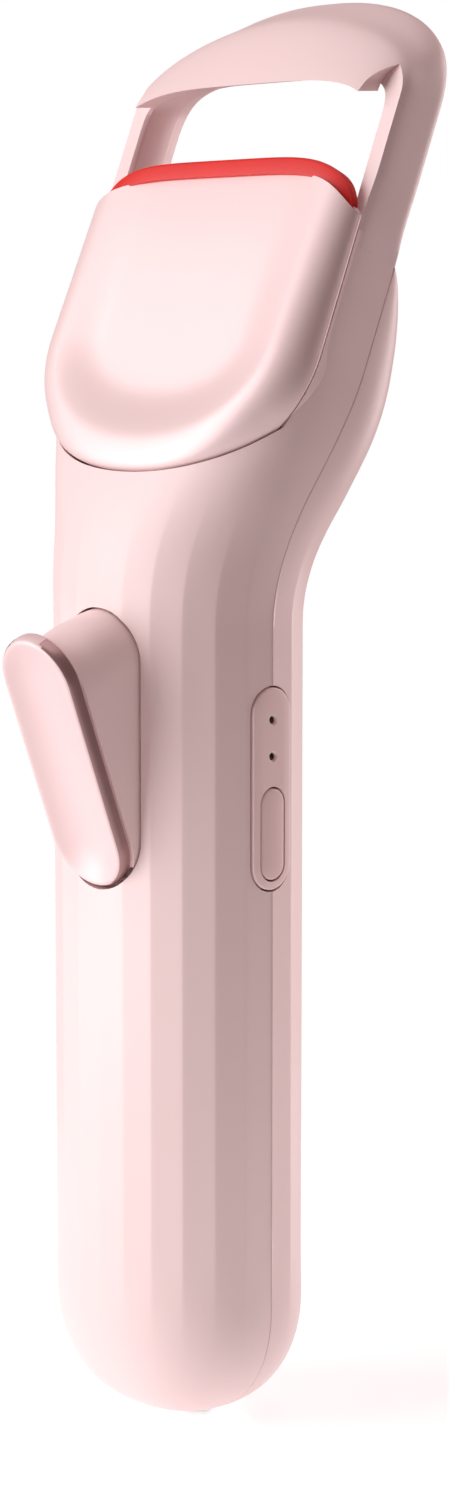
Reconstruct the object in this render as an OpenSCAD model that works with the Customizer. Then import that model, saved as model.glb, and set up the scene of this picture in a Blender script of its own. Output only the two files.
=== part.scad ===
// Trigger-operated heated eyelash curler with a raised clamping arch.
// Frame: +Z up along the handle, -Y front (trigger side), +X right side
// (button side). Origin: handle axis at the bottom tip. Millimetres.

/* [Handle] */
// Half width of the handle between the two seams
handle_a = 13.84; // [12:0.1:16]
// Depth of the handle front, seam to front face
handle_df = 11.71; // [10:0.1:14]
// Depth of the handle back, seam to back face
handle_dr = 11.3; // [10:0.1:14]
// Shell wall
wall = 1.6; // [1.2:0.1:2.4]
// Height of the rounded bottom
dome_h = 14; // [8:1:18]

/* [Head] */
// Backward lean of the head in degrees
head_tilt = 23; // [15:1:28]
// Half width of the head
head_a = 19.3; // [17:0.1:21]
// Half width of the window between the arms
window_a = 17.3; // [15.5:0.05:17.5]
// Height of the crown of the jaw edge above the head datum
crown_u = 31.4; // [30:0.1:33]
// Closing travel of the jaw
jaw_travel = 8.0; // [6:0.1:9]

/* [Trigger] */
// Height of the trigger pin
pivot_z = 60.5; // [59:0.1:62]
// Trigger pin position behind the handle axis plane
pivot_y = -5.6; // [-6:0.1:-5]
// Full squeeze in degrees
squeeze = 14.5; // [12:0.5:15]
// Radius of the trigger's outer arc
trig_r = 27.3; // [26:0.1:28]
// Lean of the trigger plate in degrees
plate_lean = 20.8; // [18:0.1:22]

/* [Power] */
// Height of the side panel centre
panel_z = 68.7; // [66:0.1:70]
// Cell diameter
cell_d = 14; // [13:0.5:14]

/* [Hidden] */
T = head_tilt;
R = 36;
L = R * T * PI / 180;
s1 = 86;
us = 99.27;                 // s = u + us on the straight head
NS = [0, 14.4, 31.1, 47.8, 63.6, 78, 90];
function cl(x, a, b) = min(max(x, a), b);
function sm(x, a, b) = let(t = cl((x - a) / (b - a), 0, 1)) t * t * (3 - 2 * t);
function mix(a, b, t) = a + (b - a) * t;
// spine
function th(s) = s <= s1 ? 0 : s >= s1 + L ? T : (s - s1) / R * 180 / PI;
function sy(s) = s <= s1 ? 0 : R * (1 - cos(th(s))) + max(s - s1 - L, 0) * sin(T);
function sz(s) = s <= s1 ? s : s1 + R * sin(th(s)) + max(s - s1 - L, 0) * cos(T);
function dome(s, h, e = 2.3) = s >= h ? 1 : max(pow(1 - pow(1 - max(s, 0) / h, e), 1 / e), 0.04);
// half widths and depths along the spine
function A(s) = mix(handle_a, head_a, sm(s, 85, 113)) * dome(s, dome_h);
function DF(s) = mix(handle_df, 10.4, sm(s, 88, 102)) * dome(s, dome_h);
function DR(s) = (s < 106 ? mix(handle_dr, 10.4, sm(s, 92, 106))
    : max(10.4 * pow(1 - pow(cl((s - 106) / 18.2, 0, 1), 2.4), 0.5), 0.7)) * dome(s, dome_h);
function NF(s) = mix(2.24, 3.6, sm(s, 92, 108));
function NR(s) = mix(2.24, 2.8, sm(s, 92, 108));
function gi(s) = s < 2.2 ? 0.04 : dome(s - 2.2, dome_h - 2.2);
function AI(s) = s < dome_h ? max((handle_a - wall) * gi(s), 0.3) : A(s) - wall;
function DFI(s) = s < dome_h ? max((handle_df - wall) * gi(s), 0.3)
    : mix(DF(s) - wall, 4.76, sm(s, 94.5, 98));
function DRI(s) = s < dome_h ? max((handle_dr - wall) * gi(s), 0.3) : max(DR(s) - wall, 0.06);
function sp(v, e) = sign(v) * pow(abs(v), 2 / e);
// one point of the section at s, angle f from +X seam to -X seam
function pt(s, f, a, d, n, q) = let(x = a * sp(cos(f), n), dd = q * d * sp(sin(f), n))
    [x, sy(s) - dd * cos(th(s)), sz(s) + dd * sin(th(s))];
HA = concat([for (a = NS) a], [for (i = [5:-1:0]) 180 - NS[i]]);
FINE = [for (i = [0:16]) i * 11.25];
// open half ring extruded along the spine: outer curve then inner curve
module half_shell(levels, q, ang) {
    m = len(ang);
    rows = [for (s = levels) concat(
        [for (f = ang) pt(s, f, A(s), q > 0 ? DF(s) : DR(s), q > 0 ? NF(s) : NR(s), q)],
        [for (i = [m - 1:-1:0]) pt(s, ang[i], AI(s), q > 0 ? DFI(s) : DRI(s), q > 0 ? NF(s) : NR(s), q)])];
    skin(rows, q > 0);
}
// closed solid from equal-length closed rows
module skin(rows, flip = false) {
    k = len(rows[0]); n = len(rows);
    pts = [for (r = rows) for (p = r) p];
    side = [for (i = [0:n - 2]) for (j = [0:k - 1]) for (t = [0, 1]) let(a = i * k + j, b = i * k + (j + 1) % k)
        t == 0 ? [a, b, b + k] : [a, b + k, a + k]];
    h = k / 2;
    cap = [for (j = [0:h - 2]) for (t = [0, 1]) t == 0 ? [j, j + 1, k - 2 - j] : [j, k - 2 - j, k - 1 - j]];
    lo = [for (f = cap) [f[2], f[1], f[0]]];
    hi = [for (f = cap) [for (v = f) v + (n - 1) * k]];
    all_f = concat(side, lo, hi);
    polyhedron(pts, flip ? all_f : [for (f = all_f) [f[2], f[1], f[0]]], convexity = 8);
}
module head() translate([0, 0, 100]) rotate([-T, 0, 0]) children();
// prism in the head: outline in (X, u), from w0 to w1 toward the front
module hp(w0, w1) head() translate([0, -w0, 0]) rotate([90, 0, 0]) linear_extrude(w1 - w0, convexity = 6) children();
module hbox(x, w0, w1, u0, u1) head() translate([-x, -w1, u0]) cube([2 * x, w1 - w0, u1 - u0]);
// rod in the head along u
module hrod(x, w, u0, u1, r) head() translate([x, -w, u0]) cylinder(r = r, h = u1 - u0, $fn = 48);
function plate_u(off, top) = concat(
    [[-(head_a + off), top]],
    [for (i = [0:24]) let(f = 180 + i * 7.5) [(head_a + off) * sp(cos(f), 2.15), 13.2 + (15.1 + off) * sp(sin(f), 2.15)]],
    [[head_a + off, top]]);
function crown(x) = crown_u - 3.7 * pow(min(abs(x), 19.3) / 19.3, 5);
// rounded slot outline along Z
module pill2(w, z0, z1) { hull_free(w, z0, z1); }
module hull_free(w, z0, z1) {
    translate([-w, z0 + w]) square([2 * w, z1 - z0 - 2 * w]);
    translate([0, z0 + w]) circle(r = w, $fn = 64);
    translate([0, z1 - w]) circle(r = w, $fn = 64);
}
// pill prism along Y (front) or X (side)
module pill_y(w, z0, z1, y0, y1) translate([0, y1, 0]) rotate([90, 0, 0]) linear_extrude(y1 - y0) pill2(w, z0, z1);
module pill_x(w, z0, z1, x0, x1, y = 0) translate([x0, y, 0]) rotate([90, 0, 90]) linear_extrude(x1 - x0) pill2(w, z0, z1);
module usb_slot(g, z0, z1) translate([0, 0, z0]) linear_extrude(z1 - z0) {
    square([5.68, 3.26 + 2 * g], center = true);
    for (s = [-1, 1]) translate([s * 2.84, 0]) circle(r = 1.63 + g, $fn = 48);
}
LV = concat([0, 0.25, 0.8, 1.6, 2.19, 2.3, 2.7, 3.4, 4.6, 6.2, 8.2, 10.6, 13.9, 14.1], [34, 54, 70, 84],
    [for (s = [87:1.5:94.5]) s], [95.5, 97, 98, 100, 102.5, 105, 107.5, 110, 113, 116, 119]);

module front_shell() color([0.95, 0.84, 0.83]) {
    difference() {
        union() {
            half_shell(concat(LV, [122.5, 125.84]), 1, HA);
            // rim that carries the recess of the moving plate
            difference() {
                hp(2.15, 4.2) polygon(plate_u(-0.02, 26.4));
                hp(3.75, 9) polygon(plate_u(0.25, 40));
            }
        }
        hp(3.75, 20) polygon(plate_u(0.25, 40));
        pill_y(5.7, 57.9, 87.8, -20, -7);
        pill_x(2.85, 58.0, 79.4, 11, 20, 0);
        usb_slot(0.05, -2, 9);
        hp(0, 6) translate([0, 14.6]) square([8.4, 12.2], center = true);
    }
    hbox(17.75, -2.6, 2.2, 25.0, 26.57);
    frame_arch();
}
// arms and arch
HW = [[-2.6, 55.2, 2.4, 46.0, 0.3], [-1.4, 54.5, 2.35, 44.6, 0.05], [-0.2, 53.5, 2.28, 43.6, 0], [1.5, 52.2, 2.05, 42.8, 0], [2.8, 51.1, 1.95, 42.3, 0.0], [3.75, 50.1, 1.95, 42.0, 0.8]];
function arc_pts(a, c, h, n, m) = [for (i = [0:m]) let(f = i * 180 / m) [a * sp(cos(f), n), c + (h - c) * sp(sin(f), n)]];
module frame_arch() {
    head() {
        rows = [for (r = HW) let(o = concat([[head_a, 20]], arc_pts(head_a, 41.5, r[1], r[2], 28), [[-head_a, 20]]),
            b = window_a + r[4],
            i = concat([[-b, 20]], [for (p = arc_pts(-b, 37, r[3], 5.0, 28)) p], [[b, 20]]))
            [for (p = concat(o, i)) [p[0], -r[0], p[1]]]];
        skin(rows, false);
        vis = [[3.3, 18.9, 50.4, 40.4, 0], [4.4, 18.2, 49.2, 40.2, 0], [5.4, 17.6, 47.2, 40.0, 0], [6.2, 17.0, 44.3, 39.8, 0], [6.7, 16.6, 42.4, 39.7, 0]];
        vr = [for (r = vis) [for (p = concat(arc_pts(r[1], 40.2, r[2], 2.1, 28),
            [for (i = [0:28]) let(x = r[1] * -cos(i * 180 / 28)) [x, min(crown(x) + jaw_travel + 2.0, 40.2 + (r[2] - 40.2) * sp(sin(i * 180 / 28), 2.1) - 0.25)]]))
            [p[0], -r[0], p[1]]]];
        skin(vr, false);
    }
}
module rear_cover() color([0.90, 0.78, 0.77]) {
    difference() {
        half_shell(concat(LV, [121, 122.6, 123.6, 124.2]), -1, HA);
        pill_x(2.85, 58.0, 79.4, 11, 20, 0);
        usb_slot(0.05, -2, 9);
    }
}
module side_panel() color([0.78, 0.62, 0.60]) difference() {
    pill_x(2.75, 58.1, 79.3, 12.3, 14.0);
    pill_x(1.75, 59.1, 68.9, 10, 20);
    for (z = [72.1, 75.9]) translate([10, 0, z]) rotate([0, 90, 0]) cylinder(r = 0.6, h = 10, $fn = 48);
}
module power_button() color([0.80, 0.64, 0.62]) {
    pill_x(1.62, 59.23, 68.77, 11.9, 14.25);
    pill_x(2.2, 58.6, 69.4, 11.3, 12.0);
}
module light_pipe_upper() color([0.15, 0.15, 0.16]) translate([10.2, 0, 75.9]) rotate([0, 90, 0]) cylinder(r = 0.55, h = 3.7, $fn = 48);
module light_pipe_lower() color([0.15, 0.15, 0.16]) translate([10.2, 0, 72.1]) rotate([0, 90, 0]) cylinder(r = 0.55, h = 3.7, $fn = 48);
module circuit_board() color([0.10, 0.35, 0.22]) {
    translate([8.3, -5, 50]) cube([1.0, 10, 34]);
    translate([9.3, -3.6, 51.5]) cube([1.0, 5, 5]);
    translate([9.3, 1.9, 78.2]) cube([0.8, 2, 1.2]);
}
module status_leds() color([0.95, 0.95, 0.85]) for (z = [72.1, 75.9]) translate([9.3, -0.8, z - 0.8]) cube([0.8, 1.6, 1.6]);
module tact_switch() color([0.2, 0.2, 0.2]) {
    translate([9.3, -1.6, 62.2]) cube([1.0, 3.2, 3.6]);
    translate([10.2, 0, 64]) rotate([0, 90, 0]) cylinder(r = 0.8, h = 0.4, $fn = 48);
}
module usb_c_socket() color([0.75, 0.75, 0.77]) difference() {
    union() { usb_slot(0, 0.5, 7.9); }
    difference() { usb_slot(-0.35, 0.4, 6.9); translate([-3.2, -0.35, 0]) cube([6.4, 0.7, 7]); }
}
module usb_board() color([0.10, 0.35, 0.22]) translate([-5.4, 1.64, 4.2]) cube([10.8, 0.8, 5.2]);
module battery() color([0.35, 0.45, 0.60]) {
    translate([0, 0, 10.5]) cylinder(r = cell_d / 2, h = 42.2, $fn = 96);
    translate([0, 0, 52.7]) cylinder(r = 2.6, h = 0.8, $fn = 48);
}
module battery_cradle() color([0.85, 0.85, 0.85]) {
    rotate([0, 0, 20]) rotate_extrude(angle = 140, $fn = 96) translate([cell_d / 2 + 0.1, 9.6]) square([1.1, 45]);
    difference() {
        translate([0, 0, 9.5]) cylinder(r = 7.6, h = 0.9, $fn = 96);
        translate([0, 0, 9]) cylinder(r = 2.5, h = 2, $fn = 48);
    }
}
module battery_leads() color([0.75, 0.1, 0.1]) for (x = [-1, 1]) translate([x * 1.1 + 3.5, 4.2, 53.6]) cylinder(r = 0.4, h = 2.5, $fn = 24);
CHK = [[-7.7, 54.8], [-7.7, 64], [-3.4, 72], [-1.0, 84], [2.6, 92], [6.6, 97.5], [9.6, 96], [7.9, 88], [7.7, 56], [6.0, 54.8]];
module chassis() color([0.86, 0.86, 0.87]) {
    for (s = [-1, 1]) difference() {
        translate([s > 0 ? 6.0 : -7.3, 0, 0]) rotate([90, 0, 90]) linear_extrude(1.3) polygon(CHK);
        translate([-9, pivot_y, pivot_z]) rotate([0, 90, 0]) cylinder(r = 1.2, h = 18, $fn = 48);
    }
    difference() {
        translate([-6.1, 6.4, 55]) cube([12.2, 1.3, 32]);
        translate([-2.1, 6, 77.5]) cube([4.2, 3, 10]);
    }
    difference() {
        translate([-6.1, -1.0, 54.8]) cube([12.2, 8.5, 1.0]);
        for (x = [-1, 1]) translate([x * 1.1 + 3.5, 4.2, 54]) cylinder(r = 0.6, h = 3, $fn = 32);
    }
}
module trigger_pin() color([0.78, 0.78, 0.80]) translate([-7.4, pivot_y, pivot_z]) rotate([0, 90, 0]) cylinder(r = 1.2, h = 14.8, $fn = 48);
module guide_rods() color([0.82, 0.82, 0.84]) for (x = [-8.6, 8.6]) hrod(x, 0.4, 0.4, 23.2, 0.8);
module bracket(u0, u1) difference() {
    union() {
        hbox(10.0, -1.2, 1.3, u0, u1);
        hbox(4.3, -1.2, 2.08, u0, u1);
    }
    for (x = [-8.6, 8.6]) hrod(x, 0.4, u0 - 1, u1 + 1, 0.8);
    for (x = [-3.2, 3.2]) head() translate([x, 3, (u0 + u1) / 2]) rotate([90, 0, 0]) cylinder(r = 0.6, h = 8, $fn = 32);
}
module guide_bracket_lower() color([0.86, 0.86, 0.87]) bracket(0.2, 2.4);
module guide_bracket_upper() color([0.86, 0.86, 0.87]) bracket(21.2, 23.4);
module bracket_screws() color([0.7, 0.7, 0.72]) for (x = [-3.2, 3.2]) for (u = [1.3, 22.3]) head() {
    translate([x, 1.2, u]) rotate([90, 0, 0]) cylinder(r = 0.6, h = 3.3, $fn = 32);
    translate([x, 2.0, u]) rotate([90, 0, 0]) cylinder(r = 1.05, h = 0.8, $fn = 48);
}
// trigger, in a frame at its pin
module trig() translate([0, pivot_y, pivot_z]) children();
module tl() trig() rotate([plate_lean, 0, 0]) children();
// follower path relative to the trigger pin, carried back into the trigger
F0 = [5.8, 25.5];
function fol(t) = let(a = squeeze * t, y = F0[0] + jaw_travel * t * sin(T), z = F0[1] + jaw_travel * t * cos(T))
    [y * cos(a) - z * sin(a), z * cos(a) + y * sin(a)];
function ftan(t) = let(e = 0.01, a = fol(t - e), b = fol(t + e), d = b - a) d / norm(d);
function slot_poly(r) = concat(
    [for (i = [-1:33]) let(t = i / 32, p = fol(t), d = ftan(t)) p + r * [d[1], -d[0]]],
    [for (k = [1:9]) let(p = fol(33 / 32), d = ftan(33 / 32), a = k * 18) p + r * (cos(a) * [d[1], -d[0]] + sin(a) * d)],
    [for (i = [33:-1:-1]) let(t = i / 32, p = fol(t), d = ftan(t)) p - r * [d[1], -d[0]]],
    [for (k = [1:9]) let(p = fol(-1 / 32), d = ftan(-1 / 32), a = k * 18) p - r * (cos(a) * [d[1], -d[0]] + sin(a) * d)]);
module xz(x0, x1) translate([x0, 0, 0]) rotate([90, 0, 90]) linear_extrude(x1 - x0, convexity = 6) children();
module trigger_lever() color([0.93, 0.80, 0.79]) {
    difference() {
        union() {
            trig() rotate([0, 90, 0]) rotate([0, 0, 183]) rotate_extrude(angle = 33, $fn = 128)
                polygon(concat([[2.7, -5.4]], [for (i = [0:12]) let(f = -90 + i * 15) [trig_r - 5.4 + 5.4 * cos(f), 5.4 * sin(f)]], [[2.7, 5.4]]));
            // hub and lower shoe
            tl() translate([0, -0.8, 0]) rotate([90, 0, 0]) linear_extrude(4.2) intersection() {
                pill2(5.0, -0.3, 26);
                translate([-3.1, -1]) square([8.3, 9]);
            }
            trig() translate([-3.0, 0, 0]) rotate([0, 90, 0]) cylinder(r = 3.2, h = 8.0, $fn = 64);
            tl() translate([0, -3.9, 0]) rotate([90, 0, 0]) linear_extrude(1.3) pill2(5.2, -0.5, 26.4);
            // inner web with the cam slot
            trig() xz(-1.3, 1.3) {
                polygon(slot_poly(2.55));
                polygon([[-6, 18], [-5, 26.4], [1.2, 31.5], [4.6, 31], [8.2, 24.2], [5.0, 20.0], [1.5, 12], [0, 8], [-4, 10]]);
            }
        }
        tl() translate([-10, -24.95, -10]) cube([20, 20, 45]);
        trig() translate([-10, 0, 0]) rotate([0, 90, 0]) cylinder(r = 1.24, h = 20, $fn = 64);
        trig() xz(-2, 2) polygon(slot_poly(1.26));
    }
}
module trigger_plate() color([0.90, 0.70, 0.70]) tl() difference() {
    translate([0, -4.95, 0]) rotate([90, 0, 0]) linear_extrude(1.75) pill2(5.1, 0.1, 28.5);
    translate([0, -17.85, -5]) cylinder(r = 11.9, h = 40, $fn = 160);
}
module trigger_spring() color([0.7, 0.7, 0.72]) trig() {
    for (i = [0:2]) translate([-5.55 + i * 0.7, 0, 0]) rotate([0, 90, 0]) difference() {
        cylinder(r = 2.05, h = 0.5, $fn = 64);
        translate([0, 0, -1]) cylinder(r = 1.5, h = 3, $fn = 64);
    }
    translate([-5.55, 0.2, 1.55]) cube([0.5, 11, 0.5]);
    translate([-4.15, 1.55, 0]) rotate([5, 0, 0]) cube([0.5, 0.5, 11]);
}
// jaw
module jaw_carriage() color([0.88, 0.88, 0.89]) difference() {
    union() {
        hbox(10.0, -1.0, 1.4, 3, 12);
        hbox(6.5, -1.0, 1.9, 3, 12);
        hbox(3.9, 1.8, 4.0, 8.95, 12);
        hp(3.95, 5.2) polygon([[-15.1, 17.5], [-15.1, 14.0], [-10.95, 4.7], [10.95, 4.7], [15.1, 14.0], [15.1, 17.5]]);
        hbox(3.4, -7.6, -0.9, 3, 9);
        for (s = [-1, 1]) head() translate([s > 0 ? 1.6 : -3.4, 3.7, -15.4]) cube([1.8, 3.9, 19]);
    }
    for (x = [-8.6, 8.6]) hrod(x, 0.4, 0, 14, 0.84);
    translate([-5, pivot_y + F0[0], pivot_z + F0[1]]) rotate([0, 90, 0]) cylinder(r = 1.2, h = 10, $fn = 48);
}
module follower_pin() color([0.78, 0.78, 0.80]) translate([-3.4, pivot_y + F0[0], pivot_z + F0[1]]) rotate([0, 90, 0]) cylinder(r = 1.2, h = 6.8, $fn = 48);
// plate skin: U-shaped loops stepping inward by these insets
PI_ = [0, 0.12, 0.4, 0.95, 1.8, 2.8, 3.8, 5.4, 7.6, 10.2, 13.5, 17, 18.9];
function uloop(o) = let(a = head_a - o, b = max(15.1 - o, 3.4 - o * 0.15), m = 24) concat(
    [for (k = [0:3]) [-a, mix(crown(a), 13.2, k / 4)]],
    [for (i = [0:m]) let(f = 180 + i * 180 / m) [a * sp(cos(f), 2.15), 13.2 + b * sp(sin(f), 2.15)]],
    [for (k = [3:-1:0]) [a, mix(crown(a), 13.2, k / 4)]]);
// height of the face: side wall, rolled edge, then a dish that is deepest at the bottom
function ridge(u) = 8.62 - 0.056 * (u + 1.9);
function side_w(u) = 4.5 + 2.8 * (1 - sm(u, -1.9, 5.5));
function roll(o) = let(t = cl(o / 3.8, 0, 1)) sqrt(1 - (1 - t) * (1 - t));
function dish(o, u) = mix(1.45, 0.4, sm(u, 2, 28)) * sm(o, 3.4, 9.5);
function face_w(o, u, u0) = side_w(u0) + (ridge(u) - side_w(u0)) * roll(o) - dish(o, u);
module plate_solid() head() {
    u0 = uloop(0);
    k = len(u0);
    rows = concat([[for (p = u0) [p[0], -3.9, p[1]]]],
        [for (o = PI_) let(q = uloop(o)) [for (j = [0:k - 1]) [q[j][0], -face_w(o, q[j][1], u0[j][1]), q[j][1]]]]);
    back = concat([[for (p = u0) [p[0], -3.9, p[1]]]], [for (o = PI_) [for (p = uloop(o)) [p[0], -3.9, p[1]]]]);
    n = len(rows); N = n * k;
    pts = concat([for (r = rows) for (p = r) p], [for (r = back) for (p = r) p]);
    fr = [for (i = [0:n - 2]) for (j = [0:k - 2]) for (t = [0, 1]) let(a = i * k + j)
        t == 0 ? [a, a + 1, a + 1 + k] : [a, a + 1 + k, a + k]];
    ctr = let(b = (n - 1) * k) [for (j = [0:(k - 3) / 2]) for (t = [0, 1])
        t == 0 ? [b + j, b + j + 1, b + k - 2 - j] : [b + j, b + k - 2 - j, b + k - 1 - j]];
    ctr2 = [for (f = ctr) if (f[0] != f[1] && f[1] != f[2] && f[0] != f[2]) f];
    bk = [for (f = concat([for (i = [1:n - 2]) for (j = [0:k - 2]) for (t = [0, 1]) let(a = i * k + j)
        t == 0 ? [a, a + 1, a + 1 + k] : [a, a + 1 + k, a + k]], ctr2)) [f[2] + N, f[1] + N, f[0] + N]];
    // first back row is joined straight to the first front row
    b0 = [for (j = [0:k - 2]) for (t = [0, 1]) t == 0 ? [j + 1, j, N + k + j] : [j + 1, N + k + j, N + k + j + 1]];
    topl = [for (i = [1:n - 2]) for (t = [0, 1]) let(a = i * k, c = N + i * k) t == 0 ? [a, a + k, c + k] : [a, c + k, c]];
    topr = [for (i = [1:n - 2]) for (t = [0, 1]) let(a = i * k + k - 1, c = N + i * k + k - 1) t == 0 ? [c + k, a + k, a] : [c, c + k, a]];
    e0 = [[0, k, N + k], [N + k + k - 1, k + k - 1, k - 1]];
    lastr = let(a = (n - 1) * k, b = (n - 1) * k + k - 1) [[a, b, N + b], [a, N + b, N + a]];
    polyhedron(pts, [for (f = concat(fr, ctr2, bk, b0, topl, topr, e0, lastr)) [f[2], f[1], f[0]]], convexity = 8);
}
module front_plate() color([0.93, 0.78, 0.78]) difference() {
    plate_solid();
    hp(3.0, 5.85) polygon([[-15.2, 40], [-15.2, 14], [-11, 4.6], [11, 4.6], [15.2, 14], [15.2, 40]]);
}
module heater_block() color([0.80, 0.80, 0.82]) difference() {
    hbox(15.0, 4.0, 5.75, 19, 29.0);
    hbox(11.2, 3.5, 4.85, 20.8, 27.2);
    head() translate([0, -4.95, 27.6]) cylinder(r = 0.65, h = 5, $fn = 32);
}
module heating_element() color([0.93, 0.93, 0.90]) hbox(11.1, 4.05, 4.8, 20.9, 27.1);
module thermistor() color([0.1, 0.1, 0.1]) hrod(0, 4.95, 27.7, 29.6, 0.6);
function padw(x) = 6.85 - 1.9 * pow(abs(x) / 18.4, 7);
module silicone_pad() color([0.94, 0.22, 0.20]) intersection() {
    hp(4.15, 8.0) polygon(concat(
        [for (i = [-20:20]) let(x = 18.4 * sin(i * 4.5)) [x, crown(x) + 1.72 - 0.9 * pow(abs(x) / 18.4, 16)]],
        [for (i = [20:-1:-20]) let(x = 18.4 * sin(i * 4.5)) [x, crown(x) + 0.12]]));
    head() linear_extrude(40) polygon(concat([[-18.4, -4.1], [18.4, -4.1]],
        [for (i = [20:-1:-20]) let(x = 18.4 * sin(i * 4.5)) [x, -padw(x)]]));
}

front_shell();
rear_cover();
side_panel();
power_button();
light_pipe_upper();
light_pipe_lower();
circuit_board();
status_leds();
tact_switch();
usb_c_socket();
usb_board();
battery();
battery_cradle();
battery_leads();
chassis();
trigger_pin();
guide_rods();
guide_bracket_lower();
guide_bracket_upper();
bracket_screws();
trigger_lever();
trigger_plate();
trigger_spring();
jaw_carriage();
follower_pin();
front_plate();
heater_block();
heating_element();
thermistor();
silicone_pad();
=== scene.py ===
import bpy, bmesh, math
import numpy as np
from mathutils import Matrix, Vector


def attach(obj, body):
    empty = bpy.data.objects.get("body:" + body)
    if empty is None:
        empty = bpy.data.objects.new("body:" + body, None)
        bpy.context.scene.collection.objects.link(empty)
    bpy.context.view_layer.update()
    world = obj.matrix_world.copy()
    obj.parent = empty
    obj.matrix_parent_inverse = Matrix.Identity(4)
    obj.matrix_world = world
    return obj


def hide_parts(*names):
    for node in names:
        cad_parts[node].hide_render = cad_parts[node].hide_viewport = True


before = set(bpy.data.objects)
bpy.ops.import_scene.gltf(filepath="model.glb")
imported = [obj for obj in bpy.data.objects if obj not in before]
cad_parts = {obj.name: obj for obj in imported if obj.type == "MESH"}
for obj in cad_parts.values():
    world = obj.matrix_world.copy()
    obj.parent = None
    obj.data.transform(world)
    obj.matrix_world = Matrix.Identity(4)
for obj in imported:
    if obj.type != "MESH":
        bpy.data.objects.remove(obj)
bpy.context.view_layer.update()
scn = bpy.context.scene
MM = 0.001

# ------------------------------------------------------------------ camera
AZ, PITCH = math.radians(45.3), math.radians(8.0)
cx = (math.sin(AZ) * 375 + math.cos(AZ) * 4.8, -math.cos(AZ) * 375 + math.sin(AZ) * 4.8, 124.1)
right = Vector((math.cos(AZ), math.sin(AZ), 0))
fh = Vector((-math.sin(AZ), math.cos(AZ), 0))
fwd = fh * math.cos(PITCH) - Vector((0, 0, math.sin(PITCH)))
up = fh * math.sin(PITCH) + Vector((0, 0, math.cos(PITCH)))
cam_d = bpy.data.cameras.new("cam")
cam_d.sensor_fit = 'AUTO'
cam_d.sensor_width = 36.0
cam_d.lens = 3585.0 / 1500.0 * 36.0
cam_d.clip_start = 0.01
cam_d.clip_end = 20
cam = bpy.data.objects.new("cam", cam_d)
scn.collection.objects.link(cam)
m = Matrix(((right.x, up.x, -fwd.x, cx[0] * MM), (right.y, up.y, -fwd.y, cx[1] * MM), (right.z, up.z, -fwd.z, cx[2] * MM), (0, 0, 0, 1)))
cam.matrix_world = m
scn.camera = cam

# ------------------------------------------------------------------ shape functions (mm), the same as the CAD's
T = math.radians(23.0)
R_, S1 = 36.0, 86.0
L_ = R_ * T
HA, HDF, HDR, DOME = 13.84, 11.71, 11.3, 14.0
HEAD_A, WIN_A = 19.3, 17.3
NS = [0, 14.4, 31.1, 47.8, 63.6, 78, 90]


def sm(x, a, b):
    t = np.clip((x - a) / (b - a), 0, 1)
    return t * t * (3 - 2 * t)


def mix(a, b, t):
    return a + (b - a) * t


def th(s):
    return 0.0 if s <= S1 else (T if s >= S1 + L_ else (s - S1) / R_)


def sy(s):
    return 0.0 if s <= S1 else R_ * (1 - math.cos(th(s))) + max(s - S1 - L_, 0) * math.sin(T)


def sz(s):
    return s if s <= S1 else S1 + R_ * math.sin(th(s)) + max(s - S1 - L_, 0) * math.cos(T)


def dome(s, h, e=2.3):
    return 1.0 if s >= h else max((1 - (1 - max(s, 0) / h) ** e) ** (1 / e), 0.02)


def A(s): return mix(HA, HEAD_A, sm(s, 85, 113)) * dome(s, DOME)
def DF(s): return mix(HDF, 10.4, sm(s, 88, 102)) * dome(s, DOME)


def DR(s):
    v = mix(HDR, 10.4, sm(s, 92, 106)) if s < 106 else max(10.4 * (1 - min((s - 106) / 18.2, 1) ** 2.4) ** 0.5, 0.7)
    return v * dome(s, DOME)


def NF(s): return mix(2.24, 3.6, sm(s, 92, 108)) + 2.4 * sm(s, 104.5, 115)
def NR(s): return mix(2.24, 2.8, sm(s, 92, 108))


def sp(v, e):
    return math.copysign(abs(v) ** (2.0 / e), v) if v else 0.0


def gi(s): return 0.02 if s < 2.2 else dome(s - 2.2, DOME - 2.2)
WALL = 1.6
def AI(s): return max((HA - WALL) * gi(s), 0.2) if s < DOME else A(s) - WALL
def DFI(s): return max((HDF - WALL) * gi(s), 0.2) if s < DOME else mix(DF(s) - WALL, 4.76, sm(s, 94, 97.3))
def DRI(s): return max((HDR - WALL) * gi(s), 0.2) if s < DOME else max(DR(s) - WALL, 0.05)


def pt(s, f, a, d, n, q):
    x = a * sp(math.cos(f), n)
    dd = q * d * sp(math.sin(f), n)
    t = th(s)
    return np.array((x, sy(s) - dd * math.cos(t), sz(s) + dd * math.sin(t)))


def P(x, w, u):
    """head frame to row frame: w toward the front, u along the head"""
    u = u + 0.028 * x * float(sm(u, 25.5, 32))
    return np.array((x, -w * math.cos(T) + u * math.sin(T), 100 + w * math.sin(T) + u * math.cos(T)))


def crown(x): return 31.4 - 3.7 * (min(abs(x), 19.3) / 19.3) ** 5


# ------------------------------------------------------------------ mesh helpers
def new_obj(name, verts, faces, smooth=True, sharp=None):
    me = bpy.data.meshes.new(name)
    me.from_pydata([tuple(np.asarray(v, float) * MM) for v in verts], [], faces)
    me.validate()
    o = bpy.data.objects.new(name, me)
    scn.collection.objects.link(o)
    bm = bmesh.new(); bm.from_mesh(me)
    bmesh.ops.remove_doubles(bm, verts=bm.verts, dist=1e-7)
    bmesh.ops.recalc_face_normals(bm, faces=bm.faces)
    bm.to_mesh(me); bm.free()
    if smooth:
        me.shade_smooth()
        if sharp is not None:
            me.set_sharp_from_angle(angle=math.radians(sharp))
    return o


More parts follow.
